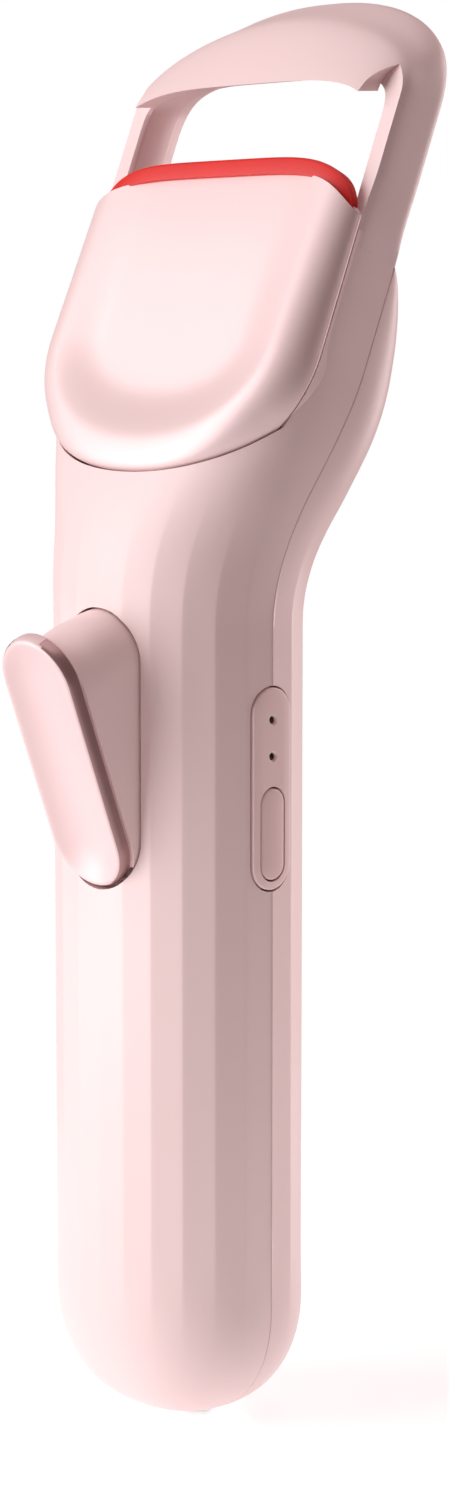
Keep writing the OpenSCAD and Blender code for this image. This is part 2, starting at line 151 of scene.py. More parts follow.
def grid_faces(n, k, close_k=True, close_n=False, off=0):
    F = []
    for i in range(n if close_n else n - 1):
        for j in range(k if close_k else k - 1):
            a = i * k + j; b = i * k + (j + 1) % k
            c = ((i + 1) % n) * k + (j + 1) % k; d = ((i + 1) % n) * k + j
            F.append((a + off, b + off, c + off, d + off))
    return F


def bake(o, sharp=30):
    """applies the modifiers and marks sharp edges by angle"""
    dg = bpy.context.evaluated_depsgraph_get()
    me = bpy.data.meshes.new_from_object(o.evaluated_get(dg), depsgraph=dg)
    o.modifiers.clear()
    old = o.data
    o.data = me
    me.name = o.name
    me.shade_smooth()
    if sharp is not None:
        me.set_sharp_from_angle(angle=math.radians(sharp))
    return o


def cut(o, tools, op='DIFFERENCE', solver='EXACT', own=False):
    for t in tools:
        md = o.modifiers.new("b", 'BOOLEAN'); md.object = t; md.operation = op; md.solver = solver
        md.use_self = own
    bake(o)
    for t in tools:
        bpy.data.objects.remove(t, do_unlink=True)
    return o


def prism(name, outline, frame_fn, lo, hi):
    """closed prism from a 2-D outline; frame_fn(x, y, h) gives the point in mm"""
    n = len(outline)
    V = [frame_fn(x, y, lo) for x, y in outline] + [frame_fn(x, y, hi) for x, y in outline]
    F = [tuple(range(n)), tuple(range(2 * n - 1, n - 1, -1))]
    F += [(i, (i + 1) % n, n + (i + 1) % n, n + i) for i in range(n)]
    return new_obj(name, V, F, smooth=False)


def pill(w, z0, z1, n=24, x0=0.0):
    c = []
    for i in range(n + 1):
        f = math.pi + math.pi * i / n
        c.append((x0 + w * math.cos(f), z0 + w + w * math.sin(f)))
    for i in range(n + 1):
        f = math.pi * i / n
        c.append((x0 + w * math.cos(f), z1 - w + w * math.sin(f)))
    return c


# ------------------------------------------------------------------ materials
def node_mat(name, base, rough=0.45, metallic=0.0, var=0.03, vscale=40, bump=0.02, bscale=900, rvar=0.06,
             spec=0.5, coat=0.0, coat_rough=0.2, dark=None, sheen=0.0, aniso=None, sss=0.0):
    mt = bpy.data.materials.new(name)
    mt.use_nodes = True
    nt = mt.node_tree
    nt.nodes.clear()
    out = nt.nodes.new("ShaderNodeOutputMaterial")
    b = nt.nodes.new("ShaderNodeBsdfPrincipled")
    nt.links.new(b.outputs[0], out.inputs[0])
    b.inputs["Metallic"].default_value = metallic
    b.inputs["Specular IOR Level"].default_value = spec
    b.inputs["Coat Weight"].default_value = coat
    b.inputs["Coat Roughness"].default_value = coat_rough
    b.inputs["Sheen Weight"].default_value = sheen
    if sss:
        b.inputs["Subsurface Weight"].default_value = sss
        b.inputs["Subsurface Radius"].default_value = (0.004, 0.002, 0.0015)
        b.inputs["Subsurface Scale"].default_value = 1.0
    tc = nt.nodes.new("ShaderNodeTexCoord")
    mp = nt.nodes.new("ShaderNodeMapping")
    nt.links.new(tc.outputs["Object"], mp.inputs[0])
    if aniso:
        mp.inputs["Scale"].default_value = aniso
    n1 = nt.nodes.new("ShaderNodeTexNoise")
    n1.inputs["Scale"].default_value = vscale
    n1.inputs["Detail"].default_value = 4
    nt.links.new(mp.outputs[0], n1.inputs["Vector"])
    cr = nt.nodes.new("ShaderNodeValToRGB")
    lo = [max(c * (1 - var), 0) for c in base]
    hi = [min(c * (1 + var * 0.6), 1) for c in base]
    if dark:
        lo = dark
    cr.color_ramp.elements[0].position = 0.3
    cr.color_ramp.elements[0].color = (*lo, 1)
    cr.color_ramp.elements[1].position = 0.7
    cr.color_ramp.elements[1].color = (*hi, 1)
    nt.links.new(n1.outputs["Fac"], cr.inputs[0])
    nt.links.new(cr.outputs[0], b.inputs["Base Color"])
    n2 = nt.nodes.new("ShaderNodeTexNoise")
    n2.inputs["Scale"].default_value = bscale
    n2.inputs["Detail"].default_value = 3
    nt.links.new(mp.outputs[0], n2.inputs["Vector"])
    mr = nt.nodes.new("ShaderNodeMapRange")
    mr.inputs["To Min"].default_value = max(rough - rvar, 0.02)
    mr.inputs["To Max"].default_value = rough + rvar
    nt.links.new(n2.outputs["Fac"], mr.inputs["Value"])
    nt.links.new(mr.outputs[0], b.inputs["Roughness"])
    bp = nt.nodes.new("ShaderNodeBump")
    bp.inputs["Strength"].default_value = bump
    bp.inputs["Distance"].default_value = 0.0001
    nt.links.new(n2.outputs["Fac"], bp.inputs["Height"])
    nt.links.new(bp.outputs[0], b.inputs["Normal"])
    return mt


PINK = (0.86, 0.66, 0.657)
M = {
    "shell": node_mat("pink_satin", PINK, rough=0.42, var=0.02, bump=0.05, bscale=2500, spec=0.5, coat=0.0),
    "lever": node_mat("pink_satin_trigger", (0.97, 0.76, 0.75), rough=0.42, var=0.02, bump=0.05, bscale=2500),
    "panel": node_mat("dusty_pink_satin", (0.88, 0.655, 0.648), rough=0.40, var=0.02, bump=0.04, bscale=2500),
    "button": node_mat("button_pink_satin", (0.82, 0.60, 0.595), rough=0.38, var=0.02, bump=0.04, bscale=2500),
    "plate": node_mat("rose_metal_satin", (0.85, 0.65, 0.65), rough=0.49, metallic=0.24, spec=0.35, var=0.012, bump=0.0, bscale=500, rvar=0.015),
    # the dark rose colour below is a painted dark reflection for the trigger plate's rolled side
    "roll_painted_reflection": node_mat("rose_metal_roll_painted_reflection", (0.42, 0.25, 0.25), rough=0.36, metallic=0.5, var=0.03, bump=0.0, bscale=900, rvar=0.02),
    "tplate": node_mat("rose_metal_trigger", (0.83, 0.62, 0.625), rough=0.50, metallic=0.22, spec=0.3, var=0.012, bump=0.0, bscale=500, rvar=0.015),
    "red": node_mat("red_silicone", (0.70, 0.015, 0.011), rough=0.5, var=0.06, vscale=300, bump=0.08, bscale=4000, spec=0.45, sss=0.05),
    "lens": node_mat("dark_lens", (0.01, 0.008, 0.008), rough=0.25, var=0.2, bump=0.02),
    "pcb": node_mat("solder_mask", (0.02, 0.16, 0.07), rough=0.35, var=0.15, vscale=900, bump=0.05, coat=0.3),
    "white": node_mat("natural_plastic", (0.80, 0.79, 0.77), rough=0.5, var=0.02, bump=0.06, bscale=1800),
    "steel": node_mat("ground_steel", (0.62, 0.62, 0.64), rough=0.28, metallic=1.0, var=0.06, vscale=120, bump=0.04, bscale=1200, aniso=(1, 1, 0.1)),
    "alu": node_mat("machined_aluminium", (0.77, 0.77, 0.79), rough=0.34, metallic=1.0, var=0.05, vscale=150, bump=0.06, bscale=1500, aniso=(0.1, 1, 1)),
    "cell": node_mat("cell_sleeve", (0.05, 0.14, 0.34), rough=0.3, var=0.08, bump=0.03, coat=0.3),
    "ceramic": node_mat("white_ceramic", (0.86, 0.85, 0.80), rough=0.4, var=0.03, bump=0.08, bscale=1500),
    "black": node_mat("black_plastic", (0.02, 0.02, 0.022), rough=0.45, var=0.15, bump=0.06, bscale=1500),
    "wire": node_mat("red_insulation", (0.45, 0.02, 0.02), rough=0.4, var=0.08, bump=0.03),
}
CAD_MAT = {
    "front_shell": "shell", "rear_cover": "shell", "side_panel": "panel", "power_button": "button",
    "light_pipe_upper": "lens", "light_pipe_lower": "lens", "circuit_board": "pcb", "status_leds": "ceramic",
    "tact_switch": "black", "usb_c_socket": "steel", "usb_board": "pcb", "battery": "cell",
    "battery_cradle": "white", "battery_leads": "wire", "chassis": "white", "trigger_pin": "steel",
    "guide_rods": "steel", "guide_bracket_lower": "white", "guide_bracket_upper": "white", "bracket_screws": "steel",
    "trigger_lever": "lever", "trigger_plate": "tplate", "trigger_spring": "steel", "jaw_carriage": "white",
    "follower_pin": "steel", "front_plate": "plate", "heater_block": "alu", "heating_element": "ceramic",
    "thermistor": "black", "silicone_pad": "red"}
for n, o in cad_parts.items():
    for s in o.material_slots:
        s.material = M[CAD_MAT[n]]


def dress(o, key, body, *nodes):
    o.data.materials.clear()
    o.data.materials.append(M[key])
    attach(o, body)
    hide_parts(*nodes)
    return o


# ------------------------------------------------------------------ shells
def facet_samples():
    """list of (corner index i, t) around the half ring, dense near the corners"""
    L = []
    for i in range(12):
        for t in (0.0, 0.035, 0.12, 0.32, 0.5, 0.68, 0.88, 0.965):
            L.append((i, t))
    L.append((12, 0.0))
    return L


CORN = [math.radians(a) for a in NS] + [math.radians(180 - NS[i]) for i in range(5, -1, -1)]
SAMP = facet_samples()


def kf(s):
    return float(sm(s, 9, 21) * (1 - sm(s, 84, 98)))


def outer_row(s, q):
    a, d, n = A(s), (DF(s) if q > 0 else DR(s)), (NF(s) if q > 0 else NR(s))
    C = [pt(s, f, a, d, n, q) for f in CORN]
    k = kf(s)
    row = []
    for i, t in SAMP:
        if i == 12:
            row.append(C[12]); continue
        f = CORN[i] + (CORN[i + 1] - CORN[i]) * t
        curve = pt(s, f, a, d, n, q)
        chord = C[i] * (1 - t) + C[i + 1] * t
        if t == 0.0 and 0 < i:
            pa = C[i] * 0.965 + C[i - 1] * 0.035
            pb = C[i] * 0.965 + C[i + 1] * 0.035
            chord = C[i] * 0.5 + (pa + pb) * 0.25
        row.append(curve * (1 - k) + chord * k)
    return row


def half_shell(name, levels, q):
    rows = []
    fi = np.linspace(0, math.pi, len(SAMP))
    for s in levels:
        o = outer_row(s, q)
        # small rounding where the shell meets the seam
        ai, di, n = AI(s), (DFI(s) if q > 0 else DRI(s)), (NF(s) if q > 0 else NR(s))
        inner = [pt(s, f, ai, di, n, q) for f in fi[::-1]]
        o = list(o)
        g = 0.10
        e0, e1 = o[0].copy(), o[-1].copy()
        dirn = np.array((0, -q * math.cos(th(s)), q * math.sin(th(s))))
        sc = min(1.0, A(s) / 3.0)
        o[0] = e0 + dirn * g * sc
        o[-1] = e1 + dirn * g * sc
        i0 = e0 - np.array((0.14 * sc, 0, 0)) + dirn * 0.015
        i1 = e1 + np.array((0.14 * sc, 0, 0)) + dirn * 0.015
        rows.append([i0] + o + [i1] + inner)
    k = len(rows[0])
    V = [p for r in rows for p in r]
    F = grid_faces(len(rows), k)
    n = len(SAMP) + 2
    # end caps: strips between outer and inner
    def cap(base, flip):
        out = []
        ou = list(range(base, base + n)); inn = list(range(base + n, base + k))[::-1]
        m_ = min(len(ou), len(inn))
        ou2 = ou[:]
        # outer has two more points than inner; pair them up
        inn2 = [inn[0]] + inn + [inn[-1]]
        for j in range(len(ou2) - 1):
            q4 = (ou2[j], ou2[j + 1], inn2[j + 1], inn2[j])
            q4 = tuple(dict.fromkeys(q4))
            if len(q4) >= 3:
                out.append(q4[::-1] if flip else q4)
        return out
    F += cap(0, False) + cap((len(rows) - 1) * k, True)
    return new_obj(name, V, F)


dome_lv = [0, 0.05, 0.12, 0.25, 0.45, 0.7, 1.0, 1.4, 1.9, 2.21, 2.3, 2.45, 2.7, 3.1, 3.6, 4.2, 5, 6, 7, 8, 9, 10, 11, 12, 13, 13.95, 14.05]
hand_lv = [15, 16.5, 18, 20, 22, 26, 30, 36, 42, 48, 54, 60, 66, 72, 78, 81, 84]
neck_lv = [85 + i * 0.75 for i in range(0, 41)]
front_lv = dome_lv + hand_lv + neck_lv + [116 + i * 1.2 for i in range(0, 8)] + [125.84]
rear_lv = dome_lv + hand_lv + neck_lv + [116, 117, 118, 119, 120, 120.8, 121.5, 122.1, 122.6, 123.0, 123.35, 123.65, 123.9, 124.1, 124.2]


def plate_outline(off, top, n=72):
    return ([(-(HEAD_A + off), top)] + [((HEAD_A + off) * sp(math.cos(math.pi + math.pi * i / n), 2.15), 13.2 + (15.1 + off) * sp(math.sin(math.pi + math.pi * i / n), 2.15)) for i in range(n + 1)]
            + [(HEAD_A + off, top)])


def hw(x, u, w): return P(x, w, u)


def slot_fn(x, z, y):
    """the top of the slot follows the arc of the trigger's nose"""
    return np.array((x, y, z + 0.17 * (y + 11.7) * min(max((z - 70) / 12.0, 0.0), 1.0)))


front = half_shell("front_shell_body", front_lv, +1)
tools = [
    prism("t_bed", plate_outline(0.22, 40), hw, 3.75, 20),
    prism("t_slot", pill(5.65, 57.95, 87.35), slot_fn, -13, -6.5),
    prism("t_pill", pill(2.90, 57.95, 79.45), lambda y, z, x: np.array((x, y, z)), 11, 20),
    prism("t_usb", [(2.84 * sx + 1.68 * math.cos(f), 1.68 * math.sin(f)) for sx, f0 in ((1, -math.pi / 2), (-1, math.pi / 2)) for f in np.linspace(f0, f0 + math.pi, 17)],
          lambda x, y, z: np.array((x, y, z)), -2, 9),
]
cut(front, tools, own=True)
rear = half_shell("rear_cover_body", rear_lv, -1)
tools = [
    prism("t_pill2", pill(2.90, 57.95, 79.45), lambda y, z, x: np.array((x, y, z)), 11, 20),
    prism("t_usb2", [(2.84 * sx + 1.68 * math.cos(f), 1.68 * math.sin(f)) for sx, f0 in ((1, -math.pi / 2), (-1, math.pi / 2)) for f in np.linspace(f0, f0 + math.pi, 17)],
          lambda x, y, z: np.array((x, y, z)), -2, 9),
]
cut(rear, tools, own=True)
dress(rear, "shell", "handle", "rear_cover")

# ---- arms and arch: a loft of arched rows, opened by the window and cut along the lip
def curve(xs, ys, x):
    """smooth monotone curve through the given points"""
    xs, ys = np.asarray(xs, float), np.asarray(ys, float)
    h = np.diff(xs); d = np.diff(ys) / h
    m = np.zeros(len(xs))
    for i in range(1, len(xs) - 1):
        if d[i - 1] * d[i] > 0:
            w1, w2 = 2 * h[i] + h[i - 1], h[i] + 2 * h[i - 1]
            m[i] = (w1 + w2) / (w1 / d[i - 1] + w2 / d[i])
    m[0], m[-1] = d[0], d[-1]
    i = int(np.clip(np.searchsorted(xs, x) - 1, 0, len(xs) - 2))
    t = (x - xs[i]) / h[i]
    return float((2 * t**3 - 3 * t**2 + 1) * ys[i] + (t**3 - 2 * t**2 + t) * h[i] * m[i] + (-2 * t**3 + 3 * t**2) * ys[i + 1] + (t**3 - t**2) * h[i] * m[i + 1])


HW_W = [-2.6, -1.4, -0.2, 1.5, 2.8, 3.75, 4.6, 5.4, 6.1, 6.6, 6.95]
HW_H = [54.9, 54.6, 53.6, 52.2, 51.1, 50.1, 48.7, 46.8, 44.6, 42.6, 40.6]
HW_N = [2.4, 2.35, 2.28, 2.05, 1.97, 1.97, 2.0, 2.05, 2.1, 2.2, 2.2]
HW_A = [19.3, 19.3, 19.3, 19.3, 19.25, 19.0, 18.5, 17.95, 17.45, 17.0, 16.7]
HW_C = [41.5, 41.5, 41.5, 41.4, 41.2, 40.8, 40.2, 39.5, 38.8, 38.0, 37.2]
ARM_W = 3.75


def arch_frame():
    ws = [-2.6, -2.56, -2.45, -2.27, -2.02, -1.7, -1.3, -0.8, -0.2, 0.4, 1.0, 1.6, 2.2, 2.7, 3.1, 3.45, 3.75, 4.05, 4.4, 4.75, 5.1, 5.45, 5.8, 6.1, 6.35, 6.6, 6.8, 6.95]
    ins = {0: 0.9, 1: 0.62, 2: 0.38, 3: 0.2, 4: 0.08, 5: 0.02}
    rows = []
    m = 120
    for j, w in enumerate(ws):
        h, n, a, c = (curve(HW_W, q, w) for q in (HW_H, HW_N, HW_A, HW_C))
        i0 = ins.get(j, 0.0)
        h -= i0; a -= i0
        leg = [(a + i0 * (1 - float(sm(u, 25.5, 32))), u) for u in np.linspace(24.9, c, 15)[:-1]]
        r = list(leg)
        for i in range(m + 1):
            f = math.pi * i / m
            r.append((a * sp(math.cos(f), n), c + (h - c) * sp(math.sin(f), n)))
        r += [(-x, u) for x, u in leg[::-1]]
        rows.append([P(x * (1 + 0.024 * float(sm(u, 26, 33) * (1 - sm(u, 47, 54)))), w, u) for x, u in r])
    k = len(rows[0])
    V = [p for r in rows for p in r]
    F = grid_faces(len(rows), k)
    F.append(tuple(range(k))[::-1])
    F.append(tuple(range((len(rows) - 1) * k, len(rows) * k)))
    body = new_obj("arch", V, F)
    # window, wider at its front and rear rims and higher toward the rear
    wr = [(-6.0, 2.6, 48.6), (-2.6, 1.35, 46.9), (-2.1, 1.15, 46.6), (-1.4, 0.95, 46.0), (-0.9, 0.8, 45.7), (-0.6, 0.15, 45.5), (-0.3, 0.0, 45.3), (1.5, 0.0, 44.4), (3.2, 0.0, 43.5), (3.45, 0.06, 43.4), (3.76, 0.4, 43.3), (3.9, 0.4, 43.3)]
    rows = []
    for w, e, h in wr:
        b_ = WIN_A + e
        r = [(b_, 20.0)]
        for i in range(m + 1):
            f = math.pi * i / m
            r.append((b_ * sp(math.cos(f), 5.0), 37 + (h - 37) * sp(math.sin(f), 5.0)))
        r.append((-b_, 20.0))
        rows.append([P(x, w, u) for x, u in r])
    k = len(rows[0])
    V = [p for r in rows for p in r]
    F = grid_faces(len(rows), k)
    F.append(tuple(range(k))[::-1]); F.append(tuple(range((len(rows) - 1) * k, len(rows) * k)))
    win = new_obj("t_win", V, F, smooth=False)
    # everything below the lip, in front of the arms, with a rounded notch at each end
    lip = [(-25.0, 18.0), (25.0, 18.0), (25.0, 42.75), (19.75, 42.75)]
    for i in range(13):
        f = math.pi / 2 + math.pi / 2 * i / 12
        lip.append((19.75 + 3.35 * math.cos(f), 40.35 + 2.4 * math.sin(f)))
    for x in np.linspace(16.3, -16.3, 61):
        lip.append((float(x), crown(float(x)) + 10.05 - 0.15 * (x / 16.4) ** 2))
    for i in range(13):
        f = math.pi / 2 * i / 12
        lip.append((-19.75 + 3.35 * math.cos(f), 40.35 + 2.4 * math.sin(f)))
    lip += [(-19.75, 42.75), (-25.0, 42.75)]
    # the underside rises toward the rear so that the lip is the lowest line
    under = prism("t_lip", lip, lambda x, u, w: P(x, w, u + 0.5 * (7.0 - w) * min(max((u - 36.0) / 4.0, 0.0), 1.0)), ARM_W, 9.0)
    cut(body, [win, under])
    bake(body, 32)
    return body


arch = arch_frame()
# bed of the moving plate, and the top wall between the arms
bed = prism("bed", [(x, u) for x, u in plate_outline(-0.12, 26.4)], hw, 2.3, 3.74)
plug = prism("plug", [(-17.9, -2.6), (17.9, -2.6), (17.9, 3.72), (-17.9, 3.72)], lambda x, w, u: P(x, w, u), 24.95, 26.5)
sleeve = prism("sleeve", pill(6.6, 57.0, 89.0), lambda x, z, y: np.array((x, y, z)), -10.15, -8.0)
cut(sleeve, [prism("t_slot2", pill(6.1, 57.95, 87.85), slot_fn, -13, -6.5)])
slot_t = prism("bed_slot", [(-4.2, 8.6), (4.2, 8.6), (4.2, 20.6), (-4.2, 20.6)], hw, 0, 6)
cut(bed, [slot_t])
for o in (front, arch, bed, plug, sleeve):
    o.data.materials.clear()
    o.data.materials.append(M["shell"])
# one mesh for the moulding
bm = bmesh.new()
for o in (front, arch, bed, plug, sleeve):
    bm.from_mesh(o.data)
me = bpy.data.meshes.new("front_shell_looks")
bm.to_mesh(me); bm.free()
shell = bpy.data.objects.new("front_shell_looks", me)
scn.collection.objects.link(shell)
me.shade_smooth()
me.set_sharp_from_angle(angle=math.radians(35))
for o in (front, arch, bed, plug, sleeve):
    bpy.data.objects.remove(o, do_unlink=True)
dress(shell, "shell", "handle", "front_shell")


# ------------------------------------------------------------------ front plate
def uloop(o, m=120, kk=22):
    a, b = HEAD_A - o, max(15.1 - o, 3.4 - o * 0.15)
    tp = [mix(crown(a), 13.2, k / kk) for k in range(kk)]
    return ([(-a, t) for t in tp] + [(a * sp(math.cos(math.pi + math.pi * i / m), 2.15), 13.2 + b * sp(math.sin(math.pi + math.pi * i / m), 2.15)) for i in range(m + 1)]
            + [(a, t) for t in tp[::-1]])


def ridge(u): return 8.62 - 0.056 * (u + 1.9)
def side_w(u): return 4.5 + 2.8 * (1 - float(sm(u, -1.9, 5.5)))


def face_w(o, u, u0):
    t = min(max(o / 3.8, 0.0), 1.0)
    r = math.sqrt(max(1 - (1 - t) ** 2, 0.0))
    d = mix(1.45, 0.4, float(sm(u, 2, 28))) * float(sm(o, 3.0, 9.5))
    return side_w(u0) + (ridge(u) - side_w(u0)) * r - d


def front_plate():
    insets = [0.004, 0.02, 0.05, 0.1, 0.17, 0.26, 0.38, 0.52, 0.7, 0.9, 1.15, 1.45, 1.8, 2.2, 2.6, 3.0, 3.4, 3.8, 4.2, 4.7, 5.2, 5.8, 6.5, 7.2, 8, 8.8, 9.6, 10.6, 12, 13.5, 15, 16.5, 18, 18.9]
    L0 = uloop(0)
    rows = []
    for o, w in ((1.8, 3.93), (0.3, 3.92), (0.1, 3.95), (0.02, 4.03), (0.0, 4.15)):
        rows.append([P(x, w, u) for x, u in uloop(o)])
    for t in (0.35, 0.7, 0.94):
        rows.append([P(x, mix(4.15, side_w(u), t), u) for x, u in L0])
    for o in insets:
        rows.append([P(x, face_w(o, u, L0[j][1]), u) for j, (x, u) in enumerate(uloop(o))])
    k = len(rows[0])
    V = [p for r in rows for p in r]
    F = grid_faces(len(rows), k, close_k=False)
    b = (len(rows) - 1) * k
    for j in range(k // 2):
        q = tuple(dict.fromkeys((b + j, b + j + 1, b + k - 2 - j, b + k - 1 - j)))
        if len(q) >= 3:
            F.append(q)
    o = new_obj("front_plate_looks", V, F)
    md = o.modifiers.new("s", 'SOLIDIFY'); md.thickness = 0.0009; md.offset = -1; md.use_even_offset = False
    bake(o, 50)
    return o


fp = front_plate()
# the solidified sheet grows inward from the outer face
dress(fp, "plate", "jaw", "front_plate")


# ------------------------------------------------------------------ pad
def padw(x): return 6.85 - 1.75 * (abs(x) / 18.6) ** 7


def pad():
    xs = 18.6 * np.sin(np.linspace(-math.pi / 2, math.pi / 2, 121))
    rows = []
    for x in xs:
        q = min(abs(x) / 18.6, 1.0)
        hgt = 1.6 * math.sqrt(max(1 - q ** 14, 0.0)) + 0.1
        w0, w1 = 4.25, max(padw(x), 4.9)
        b, t = crown(x) - 0.22, crown(x) + hgt
        r = min(0.4, hgt * 0.45)
        sec = [(w0, b), (w1 - 0.05, b), (w1, b + 0.25)]
        sec += [(w1 - r + r * math.cos(a), t - r + r * math.sin(a)) for a in np.linspace(0.0, math.pi / 2, 7)]
        sec += [(w0 + r + r * math.cos(a), t - r + r * math.sin(a)) for a in np.linspace(math.pi / 2, math.pi, 7)]
        rows.append([P(x, w, u) for w, u in sec])
    k = len(rows[0])
    V = [p for r in rows for p in r]
    F = grid_faces(len(rows), k)
    F.append(tuple(range(k))[::-1]); F.append(tuple(range((len(rows) - 1) * k, len(rows) * k)))
    return new_obj("lash_pad", V, F, sharp=50)


pd = pad()
dress(pd, "red", "jaw", "silicone_pad")


# ------------------------------------------------------------------ trigger
LEAN = math.radians(20.8)
PIN = (-5.6, 60.5)
TR = 27.3


def TL(x, z, y):
    """trigger frame: z along the plate, y through it, to row frame"""
    return np.array((x, PIN[0] + y * math.cos(LEAN) - z * math.sin(LEAN), PIN[1] + y * math.sin(LEAN) + z * math.cos(LEAN)))


def lever():
    # body of revolution about the pin with a full round nose
    prof = [(2.7, -5.35)] + [(r, -5.35) for r in np.linspace(5, TR - 5.35, 8)]
    prof += [(TR - 5.35 + 5.35 * math.cos(f), 5.35 * math.sin(f)) for f in np.linspace(-math.pi / 2, math.pi / 2, 49)[1:-1]]
    prof += [(r, 5.35) for r in np.linspace(TR - 5.35, 5, 8)] + [(2.7, 5.35)]
    angs = np.radians(np.linspace(3.0, 88.0, 86))
    rows = [[np.array((x, PIN[0] - r * math.sin(a), PIN[1] + r * math.cos(a))) for r, x in prof] for a in angs]
    k = len(prof)
    V = [p for r in rows for p in r]
    F = grid_faces(len(rows), k)
    F.append(tuple(range(k))[::-1]); F.append(tuple(range((len(rows) - 1) * k, len(rows) * k)))
    o = new_obj("trigger_lever_looks", V, F)
    keep = prism("t_keep", pill(5.36, -0.5, 48, n=32), TL, -4.93, 4.0)
    md = o.modifiers.new("i", 'BOOLEAN'); md.object = keep; md.operation = 'INTERSECT'; md.solver = 'EXACT'
    bake(o)
    bpy.data.objects.remove(keep, do_unlink=True)
    return o


def round_prism(name, loops, fn, cap0=True, cap1=True):
    """stack of equal-length loops [(points, height)] closed at both ends"""
    rows = [[fn(x, z, h) for x, z in pts] for pts, h in loops]
    k = len(rows[0])
    V = [p for r in rows for p in r]
    F = grid_faces(len(rows), k)
    if cap0:
        F.append(tuple(range(k))[::-1])
    if cap1:
        F.append(tuple(range((len(rows) - 1) * k, len(rows) * k)))
    return new_obj(name, V, F)


lv = lever()
# the inner web, foot and hub of the CAD lever stay part of the same piece
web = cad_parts["trigger_lever"]
src = bpy.data.meshes.new_from_object(web.evaluated_get(bpy.context.evaluated_depsgraph_get()))
wo = bpy.data.objects.new("t_web", src)
wo.matrix_world = web.matrix_world.copy()
scn.collection.objects.link(wo)
bm = bmesh.new(); bm.from_mesh(wo.data)
bm.transform(web.matrix_world)
bmesh.ops.bisect_plane(bm, geom=bm.verts[:] + bm.edges[:] + bm.faces[:], plane_co=(0, 0, 0), plane_no=(0, 0, -1), clear_inner=False)
# keep only faces inside the web's thickness
drop = [f for f in bm.faces if not all(abs(v.co.x) < 0.0014 for v in f.verts)]
bmesh.ops.delete(bm, geom=drop, context='FACES')
me = bpy.data.meshes.new("web"); bm.to_mesh(me); bm.free()
bpy.data.objects.remove(wo, do_unlink=True)
hub = round_prism("hub", [([(3.2 * math.cos(f), 3.2 * math.sin(f)) for f in np.linspace(0, 2 * math.pi, 48, endpoint=False)], h) for h in (-3.0, 4.9)],
                  lambda a, b, h: np.array((h, PIN[0] + a, PIN[1] + b)))
holet = round_prism("hubt", [([(1.24 * math.cos(f), 1.24 * math.sin(f)) for f in np.linspace(0, 2 * math.pi, 48, endpoint=False)], h) for h in (-9.0, 9.0)],
                    lambda a, b, h: np.array((h, PIN[0] + a, PIN[1] + b)))
cut(hub, [holet])
bm = bmesh.new()
for mm in (lv.data, hub.data, me):
    bm.from_mesh(mm)
me2 = bpy.data.meshes.new("trigger_lever_looks2")
bm.to_mesh(me2); bm.free()
bpy.data.objects.remove(hub, do_unlink=True)
lv.data = me2
me2.shade_smooth(); me2.set_sharp_from_angle(angle=math.radians(32))
dress(lv, "lever", "trigger", "trigger_lever")


def stad(o, w=5.13, z0=0.0, z1=28.5, n=32):
    return pill(w - o, z0 + o, z1 - o, n)


def trigger_plate():
    loops = [(stad(0.35), -4.97), (stad(0.12), -4.98), (stad(0.03), -5.05), (stad(0.0), -5.2), (stad(0.0), -5.62)]
    for i in range(1, 9):
        a = math.pi / 2 * i / 8
        loops.append((stad(0.42 * (1 - math.cos(a))), -5.62 - 0.98 * math.sin(a)))
    loops += [(stad(0.5), -6.645), (stad(0.58), -6.64)]
    for o, d in ((0.7, 0.05), (0.9, 0.14), (1.15, 0.26), (1.5, 0.43), (1.9, 0.60), (2.3, 0.75), (2.8, 0.91), (3.3, 1.03), (3.9, 1.13), (4.5, 1.18), (4.95, 1.2), (5.1, 1.2)):
        loops.append((stad(o), -6.65 + d))
    rows = [[TL(x, z, h) for x, z in pts] for pts, h in loops]
    k = len(rows[0])
    V = [p for r in rows for p in r]
    F = grid_faces(len(rows), k)
    F.append(tuple(range(k))[::-1]); F.append(tuple(range((len(rows) - 1) * k, len(rows) * k)))
    side = len(loops[:13])
    o = new_obj("trigger_plate_looks", V, F, sharp=60)
    return o


tp = trigger_plate()
dress(tp, "tplate", "trigger", "trigger_plate")
# the rolled side is painted darker: a painted dark reflection along the roll
tp.data.materials.append(M["roll_painted_reflection"])
back = np.array((0, math.cos(LEAN), math.sin(LEAN)))
# side-facing faces of the roll take the painted dark reflection
for f in tp.data.polygons:
    c = np.array(f.center) / MM
    yy = (c[1] - PIN[0]) * math.cos(LEAN) + (c[2] - PIN[1]) * math.sin(LEAN)
    if abs(float(np.dot(np.array(f.normal), back))) < 0.8 and -6.52 < yy < -5.3 and abs(f.normal[0]) > 0.4:
        f.material_index = 1


# ------------------------------------------------------------------ side panel
def sideways(y, z, x): return np.array((x, y, z))


def ring(z, r, n=28): return [(r * math.cos(f), z + r * math.sin(f)) for f in np.linspace(0, 2 * math.pi, n, endpoint=False)]


def soft_pill(name, w, z0, z1, x0, x1, e, crownh=0.0):
    loops = [(pill(w, z0, z1, 28), x0), (pill(w, z0, z1, 28), x1 - e)]
    for i in range(1, 6):
        a = math.pi / 2 * i / 5
        d = e * (1 - math.cos(a))
        loops.append((pill(w - d, z0 + d, z1 - d, 28), x1 - e + e * math.sin(a)))
    for d, hh in ((e + 0.25, 0.3), (e + 0.6, 0.7), (e + 0.95, 0.95), (w - 0.12, 1.0)):
        if d < w:
            loops.append((pill(w - d, z0 + d, z1 - d, 28), x1 + crownh * hh))
    return round_prism(name, loops, sideways)


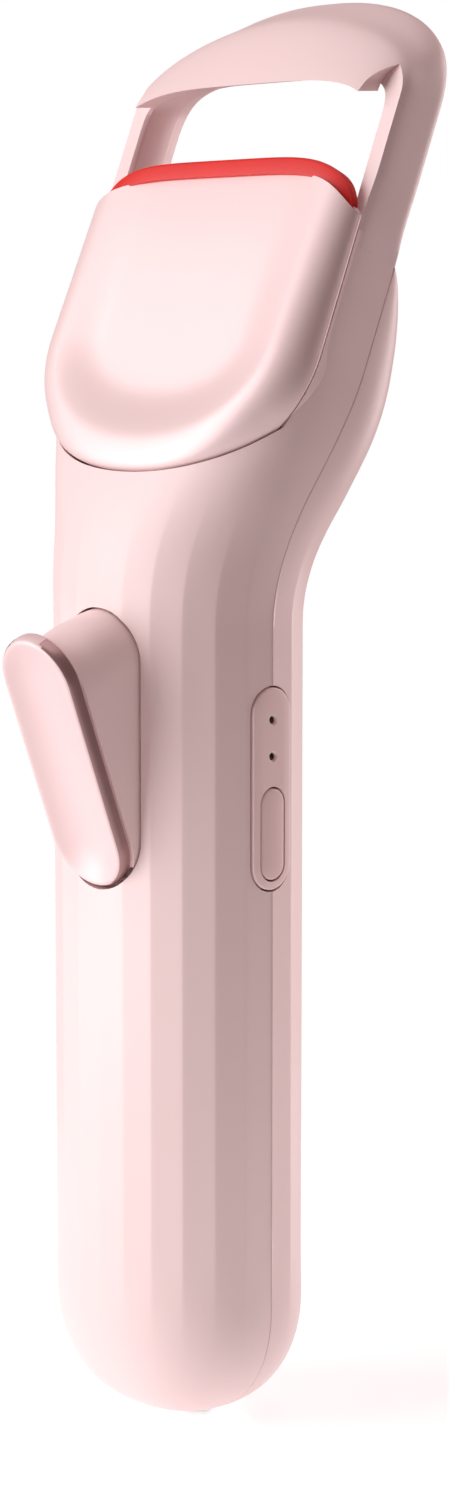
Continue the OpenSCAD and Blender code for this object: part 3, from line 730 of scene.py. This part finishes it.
pn = soft_pill("side_panel_looks", 2.70, 58.15, 79.25, 12.35, 13.84, 0.2, 0.1)
tools = [round_prism("t_btn", [(pill(1.82, 59.03, 68.97, 28), 10), (pill(1.82, 59.03, 68.97, 28), 20)], sideways)]
for z in (72.1, 75.9):
    tools.append(round_prism("t_led", [(ring(z, 0.57), 10), (ring(z, 0.57), 13.3), (ring(z, 0.41), 13.34), (ring(z, 0.41), 13.78), (ring(z, 0.66), 14.0), (ring(z, 0.7), 15)], sideways))
cut(pn, tools)
dress(pn, "panel", "handle", "side_panel")
for z, nm in ((75.9, "light_pipe_upper"), (72.1, "light_pipe_lower")):
    lp = round_prism(nm + "_looks", [(ring(z, 0.54), 10.2), (ring(z, 0.54), 13.26), (ring(z, 0.38), 13.32), (ring(z, 0.38), 13.6), (ring(z, 0.3), 13.68), (ring(z, 0.12), 13.71)], sideways)
    lp.data.shade_smooth(); lp.data.set_sharp_from_angle(angle=math.radians(40))
    dress(lp, "lens", "handle", nm)
bn = soft_pill("power_button_looks", 1.62, 59.23, 68.77, 11.9, 13.98, 0.2, 0.08)
foot = soft_pill("t_foot", 2.2, 58.6, 69.4, 11.3, 12.0, 0.1)
bm = bmesh.new()
for mm in (bn.data, foot.data):
    bm.from_mesh(mm)
me3 = bpy.data.meshes.new("power_button_looks2"); bm.to_mesh(me3); bm.free()
bpy.data.objects.remove(foot, do_unlink=True)
bn.data = me3
me3.shade_smooth(); me3.set_sharp_from_angle(angle=math.radians(40))
dress(bn, "button", "button", "power_button")

# ------------------------------------------------------------------ stage and light
fl = bpy.data.meshes.new("floor")
S = 0.17
N_ = 64
fl.from_pydata([(S * math.cos(2 * math.pi * i / N_) + 0.03, S * math.sin(2 * math.pi * i / N_) - 0.03, 0) for i in range(N_)], [], [tuple(range(N_))])
flo = bpy.data.objects.new("floor", fl)
scn.collection.objects.link(flo)
fm = node_mat("pale_floor", (0.75, 0.75, 0.75), rough=0.16, var=0.004, bump=0.0, bscale=200, spec=0.5, rvar=0.01)
fb = [n for n in fm.node_tree.nodes if n.type == 'BSDF_PRINCIPLED'][0]
fb.inputs["Emission Color"].default_value = (1, 1, 1, 1)
fb.inputs["Emission Strength"].default_value = 0.60
fl.materials.append(fm)


def area(name, loc, target, size, energy, color=(1, 1, 1), size_y=None):
    ld = bpy.data.lights.new(name, 'AREA')
    ld.size = size
    if size_y:
        ld.shape = 'RECTANGLE'; ld.size_y = size_y
    ld.energy = energy
    ld.color = color
    o = bpy.data.objects.new(name, ld)
    scn.collection.objects.link(o)
    o.location = loc
    d = Vector(target) - Vector(loc)
    o.rotation_euler = d.to_track_quat('-Z', 'Y').to_euler()
    return o


def cdir(r, f, z):
    """a spot r to the camera's right, f in front of the object toward the camera, height z"""
    v = right * r - fh * f
    return (v.x, v.y, z)


def polar(alpha, dist, z):
    """alpha in degrees from the camera side, positive to the camera's right"""
    return cdir(math.sin(math.radians(alpha)) * dist, math.cos(math.radians(alpha)) * dist, z)


area("key", polar(-78, 1.0, 0.26), (0, 0, 0.09), 0.75, 13.0, (1.0, 1.0, 1.0), size_y=1.1)
area("rim", polar(124, 0.9, 0.22), (0, 0, 0.09), 0.36, 5.5, (1.0, 0.88, 0.87), size_y=0.9)
area("top", (0.0, 0.0, 1.2), (0, 0, 0), 1.0, 5.5, (1.0, 0.92, 0.92))
world = bpy.data.worlds.new("w")
scn.world = world
world.use_nodes = True
wt = world.node_tree
wb = wt.nodes["Background"]
wb.inputs[0].default_value = (1.0, 1.0, 1.0, 1)
wl = wt.nodes.new("ShaderNodeLightPath")
wr_ = wt.nodes.new("ShaderNodeMapRange")
wr_.inputs["To Min"].default_value = 0.14
wr_.inputs["To Max"].default_value = 1.0
wt.links.new(wl.outputs["Is Camera Ray"], wr_.inputs["Value"])
wt.links.new(wr_.outputs[0], wb.inputs[1])
wm = wt.nodes.new("ShaderNodeMixRGB")
wm.inputs["Color1"].default_value = (1.0, 0.66, 0.65, 1)
wm.inputs["Color2"].default_value = (1.0, 1.0, 1.0, 1)
wt.links.new(wl.outputs["Is Camera Ray"], wm.inputs["Fac"])
wt.links.new(wm.outputs[0], wb.inputs[0])
scn.view_settings.view_transform = 'Standard'
scn.view_settings.look = 'None'
